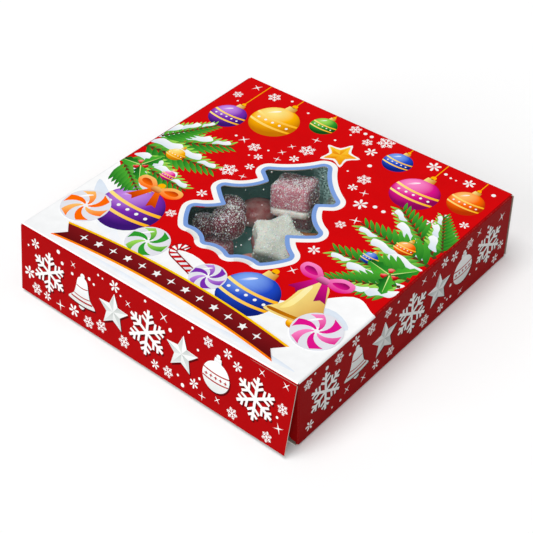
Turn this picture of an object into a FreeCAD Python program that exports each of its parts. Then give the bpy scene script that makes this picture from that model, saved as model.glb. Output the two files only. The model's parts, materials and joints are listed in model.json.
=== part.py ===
import FreeCAD, Part
import math
import os
import re
import Sketcher

# A tuck-end folding carton of sugared jelly sweets, closed, with a fir-shaped window in its top.
# The origin is the middle of the underside, +Z is up and the front flap faces -Y.

# Driving sizes, in millimetres and degrees.
SIZES = {
    # Carton, outside and closed
    "box_width": 180.0,
    "box_depth": 180.0,
    "box_height": 41.5,
    "board": 0.5,
    "crease_radius": 1.2,
    "flap_clearance": 0.4,
    # Closure flaps on the top panel, and the tongues on their lower edges
    "flap_foot": 1.2,
    "front_flare_angle": 10.5,
    "rear_flare_angle": 0.0,
    "tongue_length": 13.0,
    "tongue_root": 1.0,
    "tongue_inset": 12.5,
    "tongue_taper": 3.0,
    "tongue_corner": 8.0,
    "front_tongue_angle": 15.0,
    "rear_tongue_angle": 20.0,
    # Dust flaps on the ends of the side walls
    "dust_length": 50.0,
    "dust_heel": 2.5,
    "dust_foot": 9.0,
    "dust_head": 2.0,
    "dust_taper": 4.0,
    "dust_corner": 6.0,
    # Glued seam inside the left wall
    "seam_height": 15.0,
    "seam_end_gap": 4.0,
    "seam_chamfer": 8.0,
    "glue": 0.1,
    "seam_glue_margin": 1.5,
    # Window in the top panel
    "window_width": 67.6,
    "window_height": 91.0,
    "window_tip": 49.0,
    "bough_radius": 2.2,
    "notch_radius": 1.3,
    "film": 0.15,
    "film_overlap": 9.0,
    "film_glue_margin": 1.0,
    "film_glue_width": 4.0,
    # Thermoformed tray
    "tray_height": 29.5,
    "tray_wall": 0.5,
    "tray_draft_angle": 14.0,
    "tray_flange": 4.0,
    "tray_side_gap": 1.2,
    "tray_end_gap": 6.0,
    "tray_corner": 14.0,
    "tray_floor_radius": 4.0,
    # Sweets
    "sweet_gap": 0.3,
    "cube_side": 20.0,
    "cube_jelly": 11.5,
    "cube_foam": 4.5,
    "cube_corner": 3.0,
    "cube_rim": 2.2,
    "star_radius": 15.5,
    "star_thickness": 12.0,
    "star_corner": 2.2,
    "star_rim": 2.0,
    "slab_length": 30.0,
    "slab_width": 14.0,
    "slab_height": 12.0,
    "slab_corner": 5.6,
    "slab_rim": 4.0,
    "oval_length": 24.0,
    "oval_width": 18.0,
    "oval_height": 15.5,
    "bean_length": 21.0,
    "bean_width": 15.0,
    "bean_height": 14.0,
    "drop_length": 25.0,
    "drop_width": 19.0,
    "drop_height": 15.5,
    "lobe_body_size": 19.0,
    "lobe_head_size": 15.5,
    "lobe_arm_size": 13.0,
    # How far a cutting solid runs past what it cuts
    "overrun": 2.0,
}

# The right half of the window, from the tip down: share of half its width, share of its height, and how far
# the side that follows bows into the window, as a share of its length. B is a bough's tip, N a notch.
WINDOW_SHARES = [
    ("B", 0.0, 0.0, 0.08),
    ("B", 0.745, 0.272, 0.02),
    ("N", 0.46, 0.348, 0.13),
    ("B", 1.0, 0.548, -0.03),
    ("N", 0.58, 0.67, 0.08),
    ("B", 0.97, 0.80, -0.05),
    ("N", 0.70, 0.945, 0.16),
    ("N", 0.24, 1.0, 0.0),
]
WINDOW_MIDDLE_BOW_SHARE = 0.16

STAR_POINTS = 5
STAR_WAIST_SHARE = 0.66

# Where the lobes of a lobed sweet sit: shares of its body's size.
LOBE_SHARES = {
    "body": (0, 0),
    "head": (-0.42, 0.62),
    "arm": (-0.58, -0.33),
}

# A quarter circle bows by this share of its chord.
QUARTER_SHARE = math.tan(math.pi / 8) / 2

# Where each kind of sweet lies: shares of the tray floor's half width and half depth, the height of its
# underside in layers above the tray floor, the turn about +Z, then the lean about Y and about X, in degrees.
CUBE_SHARES = [
    (-0.13, 0.45, 1.06, 34, 4, 8),
    (-0.16, 0.54, 0, 20, 0, 0),
    (-0.33, -0.28, 0, 12, 0, 0),
    (0.22, -0.04, 0, 38, 0, 0),
    (0.83, -0.80, 0, -14, 0, 0),
    (-0.82, -0.38, 0, 25, 0, 0),
    (0.50, -0.22, 0, 10, 0, 0),
    (0.48, 0.26, 0, -20, 0, 0),
    (0.78, 0.76, 0, 15, 0, 0),
]
STAR_SHARES = [
    (0.09, -0.05, 1.13, 20, 7, 9),
    (-0.10, -0.78, 0, 10, 0, 0),
    (0.82, -0.41, 0, 44, 0, 0),
    (0.34, 0.66, 0, 0, 0, 0),
]
SLAB_SHARES = [
    (0.15, 0.32, 0, 30, 0, 0),
    (0.53, -0.70, 0, 75, 0, 0),
    (0.83, 0.34, 0, 80, 0, 0),
]
OVAL_SHARES = [
    (-0.40, 0.34, 0, 60, 0, 0),
    (-0.12, 0.12, 0, -50, 0, 0),
    (0.20, -0.82, 0, 30, 0, 0),
    (0.84, -0.08, 0, 75, 0, 0),
]
BEAN_SHARES = [
    (-0.06, -0.20, 0, 70, 0, 0),
    (0.03, 0.82, 0, -20, 0, 0),
]
DROP_SHARES = [
    (-0.58, -0.02, 0, 70, 0, 0),
    (0.22, -0.46, 0, 10, 0, 0),
]
LOBED_SHARES = [
    (-0.28, -0.13, 1, 0, 0, 0),
    (-0.60, -0.74, 0, 30, 0, 0),
]

doc = FreeCAD.newDocument("sweet_box")
sheet = doc.addObject("Spreadsheet::Sheet", "Sizes")
for row, (size_name, number) in enumerate(SIZES.items(), start=1):
    sheet.set(f"A{row}", size_name)
    sheet.set(f"B{row}", str(number))
    sheet.setAlias(f"B{row}", size_name)
doc.recompute()

pieces = []


def cells(formula):
    """Point the size names in a formula at their cells in the sheet."""
    return re.sub(r"[a-z]\w*", lambda word: f"Sizes.{word[0]}" if word[0] in SIZES else word[0], formula)


def value(formula):
    """A formula of size names, as a number."""
    return float(sheet.evalExpression(cells(formula)))


def bind(thing, prop, formula):
    thing.setExpression(prop, cells(formula))


def new_body(label):
    body = doc.addObject("PartDesign::Body", label)
    body.Label = label
    return body


def place(thing, x="0", y="0", z="0"):
    """Bind where a piece stands."""
    bind(thing, "Placement.Base.x", x)
    bind(thing, "Placement.Base.y", y)
    bind(thing, "Placement.Base.z", z)


def tilt(thing, degrees):
    """Bind a piece's turn about its own X axis."""
    thing.Placement = FreeCAD.Placement(FreeCAD.Vector(), FreeCAD.Rotation(FreeCAD.Vector(1, 0, 0), 90))
    bind(thing, "Placement.Rotation.Angle", degrees)


def arc_side(start, end, bow):
    """An arc from start to end that bows to the left of its way by a share of its chord."""
    chord = end - start
    left = FreeCAD.Vector(-chord.y, chord.x, 0).normalize()
    radius = chord.Length * (1 / (8 * abs(bow)) + abs(bow) / 2)
    sag = chord.Length * abs(bow)
    centre = start + chord / 2 - left * math.copysign(radius - sag, bow)
    first, last = (end, start) if bow > 0 else (start, end)
    first_angle = math.atan2(first.y - centre.y, first.x - centre.x)
    last_angle = math.atan2(last.y - centre.y, last.x - centre.x)
    if last_angle < first_angle:
        last_angle += 2 * math.pi
    circle = Part.Circle(centre, FreeCAD.Vector(0, 0, 1), radius)
    return Part.ArcOfCircle(circle, first_angle, last_angle)


def hold(sketch, constraint, name, formula):
    """Add a sketch dimension and bind it."""
    sketch.renameConstraint(sketch.addConstraint(constraint), name)
    bind(sketch, f"Constraints.{name}", formula)


def add_loop(sketch, corners):
    """A closed outline through corners of (x, y) or (x, y, bow of the side that leaves the corner)."""
    base = sketch.GeometryCount
    count = len(corners)
    spots = [FreeCAD.Vector(value(corner[0]), value(corner[1]), 0) for corner in corners]
    bows = [corner[2] if len(corner) > 2 else 0 for corner in corners]
    for i, bow in enumerate(bows):
        start, end = spots[i], spots[(i + 1) % count]
        sketch.addGeometry(arc_side(start, end, bow) if bow else Part.LineSegment(start, end))
    # A sketch's arcs run counter-clockwise, so a side that bows left starts at its second point.
    first_point = [2 if bow > 0 else 1 for bow in bows]
    for i, bow in enumerate(bows):
        after = (i + 1) % count
        end_point = 3 - first_point[i]
        sketch.addConstraint(
            Sketcher.Constraint("Coincident", base + i, end_point, base + after, first_point[after])
        )
    for i, (x, y, *_) in enumerate(corners):
        side = base + i
        across = Sketcher.Constraint("DistanceX", -1, 1, side, first_point[i], spots[i].x)
        along = Sketcher.Constraint("DistanceY", -1, 1, side, first_point[i], spots[i].y)
        hold(sketch, across, f"across{side}", x)
        hold(sketch, along, f"along{side}", y)
        if bows[i]:
            next_x, next_y = corners[(i + 1) % count][:2]
            chord = f"sqrt((({next_x}) - ({x}))^2 + (({next_y}) - ({y}))^2)"
            factor = 1 / (8 * abs(bows[i])) + abs(bows[i]) / 2
            round_side = Sketcher.Constraint("Radius", side, sketch.Geometry[side].Radius)
            hold(sketch, round_side, f"radius{side}", f"{chord} * {factor}")


def draw(body, plane, *loops, rise="0"):
    """Sketch closed outlines on one of the body's own planes, moved along its normal by rise."""
    sketch = body.newObject("Sketcher::SketchObject", f"{body.Name}_outline")
    support = next(feature for feature in body.Origin.OriginFeatures if feature.Role == plane)
    sketch.AttachmentSupport = [(support, "")]
    sketch.MapMode = "FlatFace"
    bind(sketch, "AttachmentOffset.Base.z", rise)
    for corners in loops:
        add_loop(sketch, corners)
    return sketch


def pad(body, sketch, length, midplane=False, draft=None):
    feature = body.newObject("PartDesign::Pad", f"{body.Name}_pad")
    feature.Profile = sketch
    feature.Midplane = midplane
    bind(feature, "Length", length)
    if draft:
        bind(feature, "TaperAngle", draft)
    return feature


def dress(body, kind, prop, size, chosen):
    """Round or bevel the edges of a body that the test picks."""
    doc.recompute()
    base = body.Tip
    names = [f"Edge{i}" for i, edge in enumerate(base.Shape.Edges, start=1) if chosen(edge)]
    feature = body.newObject(f"PartDesign::{kind}", f"{body.Name}_{kind}")
    feature.Base = (base, names)
    bind(feature, prop, size)
    return feature


def near(number, other):
    return math.isclose(number, other, abs_tol=value("board") / 100)


def upright(edge):
    """True for an edge that runs only along Z."""
    box = edge.BoundBox
    return near(box.XLength, 0) and near(box.YLength, 0)


def upright_at(spots):
    """A test for upright edges that stand on one of the (x, y) spots."""
    def test(edge):
        box = edge.BoundBox
        return upright(edge) and any(near(box.XMin, x) and near(box.YMin, y) for x, y in spots)
    return test


def level_at(*heights):
    """A test for edges that lie flat at one of the heights."""
    def test(edge):
        box = edge.BoundBox
        return near(box.ZLength, 0) and any(near(box.ZMin, height) for height in heights)
    return test


def rectangle(half_x, half_y):
    return [
        (f"-({half_x})", f"-({half_y})"),
        (half_x, f"-({half_y})"),
        (half_x, half_y),
        (f"-({half_x})", half_y),
    ]


def mirror_x(corners):
    """The outline on the other side of the Y axis."""
    return [(f"-({x})", y, -(bow[0] if bow else 0)) for x, y, *bow in corners]


def mirror_y(corners):
    """The outline on the other side of the X axis."""
    return [(x, f"-({y})", -(bow[0] if bow else 0)) for x, y, *bow in corners]


def keep(piece):
    pieces.append(piece)
    return piece


# Places that several pieces share
DUST_FACE = "(box_depth / 2 - board - flap_clearance)"
WALL_HALF = f"({DUST_FACE} - crease_radius)"
SEAM_FACE = "(box_width / 2 - board - glue)"
CREASE_LINE = "(box_width / 2 - crease_radius)"
FLAP_HEIGHT = "(box_height - flap_foot)"
TRAY_RIM_X = "(box_width / 2 - board - tray_side_gap)"
TRAY_RIM_Y = f"({DUST_FACE} - board - tray_end_gap)"
TRAY_RUN = "tray_height * tan(tray_draft_angle)"
FLOOR_X = f"({TRAY_RIM_X} - tray_flange - {TRAY_RUN})"
FLOOR_Y = f"({TRAY_RIM_Y} - tray_flange - {TRAY_RUN})"
SEAT = "(board + tray_wall)"
LAYER = "(cube_foam + cube_jelly + sweet_gap)"


def window_corners():
    """The window's outline, clockwise from its tip, and its bough tips and notches as (x, y) formulas."""
    right = []
    for kind, across, down, bow in WINDOW_SHARES:
        right.append((kind, f"{across} * window_width / 2", f"window_tip - {down} * window_height", -bow))
    corners = [(x, y, bow) for kind, x, y, bow in right]
    corners[-1] = corners[-1][:2] + (-WINDOW_MIDDLE_BOW_SHARE,)
    # The left half runs back up, so each side takes the bow of the corner above it.
    for i in range(len(right) - 1, 0, -1):
        kind, x, y, _ = right[i]
        corners.append((f"-({x})", y, right[i - 1][3]))
    spots = {"B": [], "N": []}
    for kind, x, y, _ in right:
        for side in (1, -1):
            spots[kind].append((side * value(x), value(y)))
    return corners, spots


def make_top_panel():
    body = new_body("top_panel")
    corners, spots = window_corners()
    panel = rectangle(CREASE_LINE, "box_depth / 2 - crease_radius")
    pad(body, draw(body, "XY_Plane", panel, corners), "board")
    dress(body, "Fillet", "Radius", "bough_radius", upright_at(spots["B"]))
    dress(body, "Fillet", "Radius", "notch_radius", upright_at(spots["N"]))
    # The rounded creases from which the front and rear flaps hang
    crease = [
        ("box_depth / 2 - crease_radius", "board", QUARTER_SHARE),
        ("box_depth / 2", "board - crease_radius"),
        ("box_depth / 2 - board", "board - crease_radius", -QUARTER_SHARE),
        ("box_depth / 2 - crease_radius", "0"),
    ]
    creases = draw(body, "YZ_Plane", crease, mirror_x(crease))
    pad(body, creases, f"2 * {CREASE_LINE}", midplane=True)
    place(body, z="box_height - board")
    keep(body)


def make_bottom_panel():
    body = new_body("bottom_panel")
    outline = [
        (f"crease_radius - {SEAM_FACE}", f"-{DUST_FACE}"),
        (CREASE_LINE, f"-{DUST_FACE}"),
        (CREASE_LINE, DUST_FACE),
        (f"crease_radius - {SEAM_FACE}", DUST_FACE),
    ]
    pad(body, draw(body, "XY_Plane", outline), "board")
    place(body)
    keep(body)


def make_wall(label, side):
    """A side wall with its top crease and its dust flaps' creases; the right one turns under as well."""
    body = new_body(label)
    top = [
        ("0", "box_height - crease_radius", -QUARTER_SHARE),
        ("-crease_radius", "box_height"),
        ("-crease_radius", "box_height - board", QUARTER_SHARE),
        ("-board", "box_height - crease_radius"),
    ]
    turned_under = [
        ("-board", "crease_radius", QUARTER_SHARE),
        ("-crease_radius", "board"),
        ("-crease_radius", "0", -QUARTER_SHARE),
        ("0", "crease_radius"),
    ]
    cut_off = [("-board", "0"), ("0", "0")]
    section = top + (turned_under if side > 0 else cut_off)
    corner = [
        ("0", f"-{WALL_HALF}", QUARTER_SHARE),
        ("-crease_radius", f"-{DUST_FACE}"),
        ("-crease_radius", f"board - {DUST_FACE}", -QUARTER_SHARE),
        ("-board", f"-{WALL_HALF}"),
    ]
    corners = [corner, mirror_y(corner)]
    if side < 0:
        section = mirror_x(section)
        corners = [mirror_x(outline) for outline in corners]
    pad(body, draw(body, "XZ_Plane", section), f"2 * {WALL_HALF}", midplane=True)
    ends = draw(body, "XY_Plane", *corners, rise="crease_radius")
    pad(body, ends, "box_height - 2 * crease_radius")
    place(body, x=f"{side} * box_width / 2")
    keep(body)


def make_seam():
    body = new_body("seam_flap")
    section = [
        ("0", "crease_radius", -QUARTER_SHARE),
        ("crease_radius", "0"),
        ("crease_radius", "board", QUARTER_SHARE),
        ("board", "crease_radius"),
        ("board", "seam_height"),
        ("0", "seam_height"),
    ]
    length = f"2 * ({WALL_HALF} - seam_end_gap)"
    pad(body, draw(body, "XZ_Plane", section), length, midplane=True)
    half, height = value(f"{length} / 2"), value("seam_height")

    def upper_corner(edge):
        box = edge.BoundBox
        across = near(box.YLength, 0) and near(box.ZLength, 0)
        return across and near(box.ZMin, height) and near(abs(box.YMin), half)

    dress(body, "Chamfer", "Size", "seam_chamfer", upper_corner)
    place(body, x=f"-{SEAM_FACE}")
    keep(body)

    strip = doc.addObject("Part::Box", "seam_glue")
    bind(strip, "Length", "glue")
    bind(strip, "Width", f"{length} - 2 * (seam_chamfer + seam_glue_margin)")
    bind(strip, "Height", "seam_height - crease_radius - 2 * seam_glue_margin")
    place(
        strip,
        f"-{SEAM_FACE} - glue",
        f"seam_chamfer + seam_glue_margin - {length} / 2",
        "crease_radius + seam_glue_margin",
    )
    keep(strip)


def make_closure(end, side):
    """A closure flap hung on the top panel, and the tongue on its lower edge; side is -1 at the front."""
    flap = new_body(f"{end}_flap")
    # The outer face is on y = 0, under the hinge line.
    section = [
        ("0", f"-{FLAP_HEIGHT}"),
        (f"{-side} * board", f"-{FLAP_HEIGHT}"),
        (f"{-side} * board", "-crease_radius"),
        ("0", "-crease_radius"),
    ]
    pad(flap, draw(flap, "YZ_Plane", section), "box_width", midplane=True)
    tilt(flap, f"{side} * {end}_flare_angle")
    place(flap, y=f"{side} * box_depth / 2", z="box_height")
    keep(flap)

    tongue = new_body(f"{end}_tongue")
    root_half = "(box_width / 2 - tongue_inset)"
    tip_half = f"({root_half} - tongue_taper)"
    outline = [
        (f"-{root_half}", f"{-side} * tongue_root"),
        (root_half, f"{-side} * tongue_root"),
        (tip_half, f"{-side} * tongue_length"),
        (f"-{tip_half}", f"{-side} * tongue_length"),
    ]
    pad(tongue, draw(tongue, "XY_Plane", outline), "board")
    tips = [(mirror * value(tip_half), -side * value("tongue_length")) for mirror in (1, -1)]
    dress(tongue, "Fillet", "Radius", "tongue_corner", upright_at(tips))
    tilt(tongue, f"{-side} * {end}_tongue_angle")
    place(
        tongue,
        y=f"{side} * (box_depth / 2 + {FLAP_HEIGHT} * sin({end}_flare_angle))",
        z=f"box_height - {FLAP_HEIGHT} * cos({end}_flare_angle)",
    )
    keep(tongue)


def make_dust_flap(label, side, end):
    """A dust flap on one end of a side wall; its lower edge is cut away over the tongue."""
    body = new_body(label)
    rise = "(dust_foot - dust_heel)"
    outline = [
        ("0", "dust_heel"),
        (f"{-side} * dust_heel", "dust_heel"),
        (f"{-side} * (dust_heel + {rise})", "dust_foot"),
        (f"{-side} * dust_length", "dust_foot"),
        (f"{-side} * dust_length", "box_height - dust_head - dust_taper"),
        (f"{-side} * dust_heel", "box_height - dust_head"),
        ("0", "box_height - dust_head"),
    ]
    pad(body, draw(body, "XZ_Plane", outline), "board", midplane=True)
    reach = -side * value("dust_length")

    def free_corner(edge):
        box = edge.BoundBox
        return near(box.XLength, 0) and near(box.ZLength, 0) and near(box.XMin, reach)

    dress(body, "Fillet", "Radius", "dust_corner", free_corner)
    place(body, f"{side} * {CREASE_LINE}", f"{end} * ({DUST_FACE} - board / 2)")
    keep(body)


def make_window_film():
    half = "(window_width / 2 + film_overlap)"
    length = "(window_height + 2 * film_overlap)"
    middle = "window_tip - window_height / 2"
    film = doc.addObject("Part::Box", "window_film")
    bind(film, "Length", f"2 * {half}")
    bind(film, "Width", length)
    bind(film, "Height", "film")
    place(film, f"-{half}", f"{middle} - {length} / 2", "box_height - board - glue - film")
    keep(film)

    ring = new_body("window_glue")
    outer = rectangle(f"{half} - film_glue_margin", f"{length} / 2 - film_glue_margin")
    inset = "(film_glue_margin + film_glue_width)"
    inner = rectangle(f"{half} - {inset}", f"{length} / 2 - {inset}")
    pad(ring, draw(ring, "XY_Plane", outer, inner), "glue")
    place(ring, y=middle, z="box_height - board - glue")
    keep(ring)


def tapered_block(label, half_x, half_y, height, corner, floor_radius):
    """A block that widens upwards, with rounded corners and a rounded floor edge."""
    body = new_body(label)
    pad(body, draw(body, "XY_Plane", rectangle(half_x, half_y)), height, draft="tray_draft_angle")

    def slanted(edge):
        return not near(edge.BoundBox.ZLength, 0)

    dress(body, "Fillet", "Radius", corner, slanted)
    dress(body, "Fillet", "Radius", floor_radius, level_at(0))
    return body


def make_tray():
    """A drafted tray with a flat rim, made as a block with its inside taken out."""
    block = tapered_block("tray_block", FLOOR_X, FLOOR_Y, "tray_height", "tray_corner", "tray_floor_radius")
    rim = rectangle(TRAY_RIM_X, TRAY_RIM_Y)
    pad(block, draw(block, "XY_Plane", rim, rise="tray_height - tray_wall"), "tray_wall")
    rim_spots = [(x * value(TRAY_RIM_X), y * value(TRAY_RIM_Y)) for x in (1, -1) for y in (1, -1)]
    dress(block, "Fillet", "Radius", "tray_corner", upright_at(rim_spots))

    inset = "(tray_wall / cos(tray_draft_angle) - tray_wall * tan(tray_draft_angle))"
    hollow = tapered_block(
        "tray_hollow",
        f"{FLOOR_X} - {inset}",
        f"{FLOOR_Y} - {inset}",
        "tray_height + overrun",
        "tray_corner - tray_wall",
        "tray_floor_radius - tray_wall",
    )
    place(hollow, z="tray_wall")
    tray = doc.addObject("Part::Cut", "tray")
    tray.Base = block
    tray.Tool = hollow
    place(tray, z="board")
    keep(tray)


def scatter(label, master, height, places):
    """Copies of one sweet in one node; height is that of its own origin above its underside."""
    copies = []
    for across, along, layers, turn, lean_y, lean_x in places:
        copy = doc.addObject("App::Link", f"{label}_copy")
        copy.setLink(master)
        copy.LinkTransform = True
        copy.Placement = FreeCAD.Placement(FreeCAD.Vector(), FreeCAD.Rotation(turn, lean_y, lean_x))
        level = f"{SEAT} + sweet_gap + {layers} * {LAYER} + {height}"
        place(copy, f"{across} * {FLOOR_X}", f"{along} * {FLOOR_Y}", level)
        copies.append(copy)
    group = doc.addObject("Part::Compound", label)
    group.Links = copies
    keep(group)


def rounded_block(label, half_x, half_y, height, corner, rim, rim_heights):
    """A moulded block: upright edges rounded, then the rims at the named heights."""
    body = new_body(label)
    pad(body, draw(body, "XY_Plane", rectangle(half_x, half_y)), height)
    dress(body, "Fillet", "Radius", corner, upright)
    dress(body, "Fillet", "Radius", rim, level_at(*[value(spot) for spot in rim_heights]))
    return body


def ellipsoid(label, length, width, height):
    solid = doc.addObject("Part::Ellipsoid", label)
    bind(solid, "Radius1", f"{height} / 2")
    bind(solid, "Radius2", f"{length} / 2")
    bind(solid, "Radius3", f"{width} / 2")
    return solid


def make_cubes():
    half = "cube_side / 2"
    rounding = ("cube_corner", "cube_rim")
    jelly = rounded_block("cube_jelly_form", half, half, "cube_jelly", *rounding, ["cube_jelly"])
    foam = rounded_block("cube_foam_form", half, half, "cube_foam", *rounding, ["0"])
    # Both halves of a leaning cube turn about the foot of its foam, so the jelly is lifted in its form.
    place(jelly, z="cube_foam")
    scatter("mauve_cube_tops", jelly, "0", CUBE_SHARES)
    scatter("foam_cube_bases", foam, "0", CUBE_SHARES)


def make_stars():
    body = new_body("star_form")
    corners = []
    for i in range(2 * STAR_POINTS):
        angle = math.pi * i / STAR_POINTS
        share = STAR_WAIST_SHARE if i % 2 else 1
        across, along = share * math.cos(angle), share * math.sin(angle)
        corners.append((f"{across} * star_radius", f"{along} * star_radius"))
    pad(body, draw(body, "XY_Plane", corners), "star_thickness")
    dress(body, "Fillet", "Radius", "star_corner", upright)
    dress(body, "Fillet", "Radius", "star_rim", level_at(0, value("star_thickness")))
    scatter("white_stars", body, "0", STAR_SHARES)


def make_slabs():
    half_x, half_y = "slab_length / 2", "slab_width / 2"
    heights = ["0", "slab_height"]
    slab = rounded_block("slab_form", half_x, half_y, "slab_height", "slab_corner", "slab_rim", heights)
    scatter("cola_slabs", slab, "0", SLAB_SHARES)


def make_round_sweets():
    kinds = [
        ("red_ovals", "oval", OVAL_SHARES),
        ("pink_beans", "bean", BEAN_SHARES),
        ("black_drops", "drop", DROP_SHARES),
    ]
    for label, name, places in kinds:
        length, width, height = (f"{name}_{size}" for size in ("length", "width", "height"))
        solid = ellipsoid(f"{name}_form", length, width, height)
        scatter(label, solid, f"{height} / 2", places)


def make_lobed_sweets():
    """A plump round body with a smaller lobe behind it and another beside it, all on one level."""
    lobes = []
    for name, (across, along) in LOBE_SHARES.items():
        lobe = doc.addObject("Part::Sphere", f"lobe_{name}")
        bind(lobe, "Radius", f"lobe_{name}_size / 2")
        place(lobe, f"{across} * lobe_body_size", f"{along} * lobe_body_size", f"lobe_{name}_size / 2")
        lobes.append(lobe)
    whole = doc.addObject("Part::MultiFuse", "lobed_form")
    whole.Shapes = lobes
    scatter("plum_lobed_jellies", whole, "0", LOBED_SHARES)


def write_parts():
    """Check every feature, then write each piece under its own name."""
    doc.recompute()
    for thing in doc.Objects:
        if "Invalid" in thing.State or "Error" in thing.State:
            raise RuntimeError(f"{thing.Label} failed: {thing.State}")
    os.makedirs("parts", exist_ok=True)
    for piece in pieces:
        shape = piece.Shape
        if shape.isNull() or not shape.isValid() or not shape.Solids:
            raise RuntimeError(f"{piece.Label} has no valid solid")
    for piece in pieces:
        piece.Shape.exportStep(f"parts/{piece.Label}.step")
        print(piece.Label, len(piece.Shape.Solids), round(piece.Shape.Volume, 2))


make_top_panel()
make_bottom_panel()
make_wall("right_wall", 1)
make_wall("left_wall", -1)
make_seam()
make_closure("front", -1)
make_closure("rear", 1)
make_dust_flap("front_right_dust_flap", 1, -1)
make_dust_flap("front_left_dust_flap", -1, -1)
make_dust_flap("rear_right_dust_flap", 1, 1)
make_dust_flap("rear_left_dust_flap", -1, 1)
make_window_film()
make_tray()
make_cubes()
make_stars()
make_slabs()
make_round_sweets()
make_lobed_sweets()
write_parts()
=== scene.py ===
import json
import math
import random

import bmesh
import bpy
from mathutils import Matrix, Vector, noise
from mathutils.geometry import interpolate_bezier


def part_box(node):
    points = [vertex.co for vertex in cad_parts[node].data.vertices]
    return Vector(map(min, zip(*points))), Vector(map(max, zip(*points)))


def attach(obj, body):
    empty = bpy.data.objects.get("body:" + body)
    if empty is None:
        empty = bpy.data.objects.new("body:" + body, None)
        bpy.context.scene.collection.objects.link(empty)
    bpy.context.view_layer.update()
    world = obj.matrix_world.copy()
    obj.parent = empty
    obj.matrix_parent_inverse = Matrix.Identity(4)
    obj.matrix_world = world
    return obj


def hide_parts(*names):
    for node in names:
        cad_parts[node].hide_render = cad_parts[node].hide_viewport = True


# A printed tuck-end carton of sugared jelly sweets, dressed for a white studio.
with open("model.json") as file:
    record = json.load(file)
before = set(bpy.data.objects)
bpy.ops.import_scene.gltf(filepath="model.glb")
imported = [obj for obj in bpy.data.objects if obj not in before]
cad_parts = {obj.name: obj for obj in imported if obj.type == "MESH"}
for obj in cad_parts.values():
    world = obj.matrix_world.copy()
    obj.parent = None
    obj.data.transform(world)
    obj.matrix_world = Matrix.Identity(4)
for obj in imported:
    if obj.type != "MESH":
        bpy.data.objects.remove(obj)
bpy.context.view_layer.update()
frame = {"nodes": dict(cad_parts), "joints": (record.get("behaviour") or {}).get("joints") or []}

MM = 0.001
MERGE = 0.01 * MM  # corners nearer than this are one
joints = {joint["name"]: joint for joint in frame["joints"]}

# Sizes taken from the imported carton, in metres
HALF_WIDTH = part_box("right_wall")[1].x
HALF_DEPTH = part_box("top_panel")[1].y
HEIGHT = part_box("top_panel")[1].z
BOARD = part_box("bottom_panel")[1].z
CREASE = HALF_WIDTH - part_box("top_panel")[1].x
FRONT_HINGE = Vector(joints["front_flap_fold"]["pos_m"])
TONGUE_HINGE = Vector(joints["front_tongue_fold"]["pos_m"])
MIDDLE = Vector((0, 0, HEIGHT / 2))

# The same on the printed panels, in millimetres
PANEL_HALF = HALF_WIDTH / MM
WALL_HALF_HEIGHT = HEIGHT / MM / 2

# How the photographed front flap stands open: its flare, and how much more it opens at its right end
FLAP_LENGTH = (FRONT_HINGE - TONGUE_HINGE).length
FLARE = math.atan2(FRONT_HINGE.y - TONGUE_HINGE.y, FRONT_HINGE.z - TONGUE_HINGE.z)
TWIST = math.radians(2.5)


# Nodes and colours

def linear(code):
    """An sRGB hex colour as linear red, green and blue, with a full alpha."""
    parts = [int(code[i:i + 2], 16) / 255 for i in (1, 3, 5)]
    return [p / 12.92 if p <= 0.04045 else ((p + 0.055) / 1.055) ** 2.4 for p in parts] + [1.0]


def add(tree, kind, inputs=None, **settings):
    """Add a node, set it up, and give its inputs their values or links."""
    made = tree.nodes.new(kind)
    for name, setting in settings.items():
        setattr(made, name, setting)
    for socket, source in (inputs or {}).items():
        if isinstance(source, bpy.types.NodeSocket):
            tree.links.new(source, made.inputs[socket])
        else:
            made.inputs[socket].default_value = source
    return made


def reckon(tree, operation, *values, **settings):
    """What a math node makes of some numbers."""
    return add(tree, "ShaderNodeMath", dict(enumerate(values)), operation=operation, **settings).outputs[0]


def direct(tree, operation, *values):
    """What a vector math node makes of some vectors: a vector as output 0, or a number as Value."""
    return add(tree, "ShaderNodeVectorMath", dict(enumerate(values)), operation=operation).outputs


def ranged(tree, value, start, end, low, high):
    """A number moved from one range to another, and kept inside it."""
    span = {"Value": value, "From Min": start, "From Max": end, "To Min": low, "To Max": high}
    return add(tree, "ShaderNodeMapRange", span).outputs[0]


def per_mm(size):
    """A texture scale whose features are this many millimetres across."""
    return 1 / (size * MM)


def speckle(tree, size, low, high, detail=3.0):
    """Noise on object coordinates, as a number from low to high."""
    where = add(tree, "ShaderNodeTexCoord").outputs["Object"]
    grain = add(tree, "ShaderNodeTexNoise", {"Vector": where, "Scale": per_mm(size), "Detail": detail})
    return ranged(tree, grain.outputs[0], 0.3, 0.7, low, high)


def tinted(tree, factor, *colours):
    """A colour between two, each a hex code or a link, by a number or a link."""
    one, other = (linear(colour) if isinstance(colour, str) else colour for colour in colours)
    return add(tree, "ShaderNodeMix", {"Factor": factor, 6: one, 7: other}, data_type="RGBA").outputs[2]


def bumped(tree, strength, height, depth=0.05):
    """The normal of a surface in relief, at most this many millimetres deep."""
    relief = {"Strength": strength, "Distance": depth * MM, "Height": height}
    return add(tree, "ShaderNodeBump", relief).outputs[0]


def new_material(name):
    """An empty node material and its tree."""
    material = bpy.data.materials.new(name)
    material.use_nodes = True
    material.node_tree.nodes.clear()
    return material, material.node_tree


def coated(material, surface, shader="ShaderNodeBsdfPrincipled"):
    """The material, with its surface made by a shader of these inputs."""
    tree = material.node_tree
    add(tree, "ShaderNodeOutputMaterial", {"Surface": add(tree, shader, surface).outputs[0]})
    return material


# Materials

# The print's red: full on the top, a darker copy on the flaps, tongue, base and the walls' drawn bands, and a
# darker one still on the side walls; the darker copies are painted shade
PRINT_RED = "#D5060A"
SHADED_WALL_RED = "#AB070B"
SHADED_SIDE_RED = "#9E060A"

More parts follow.
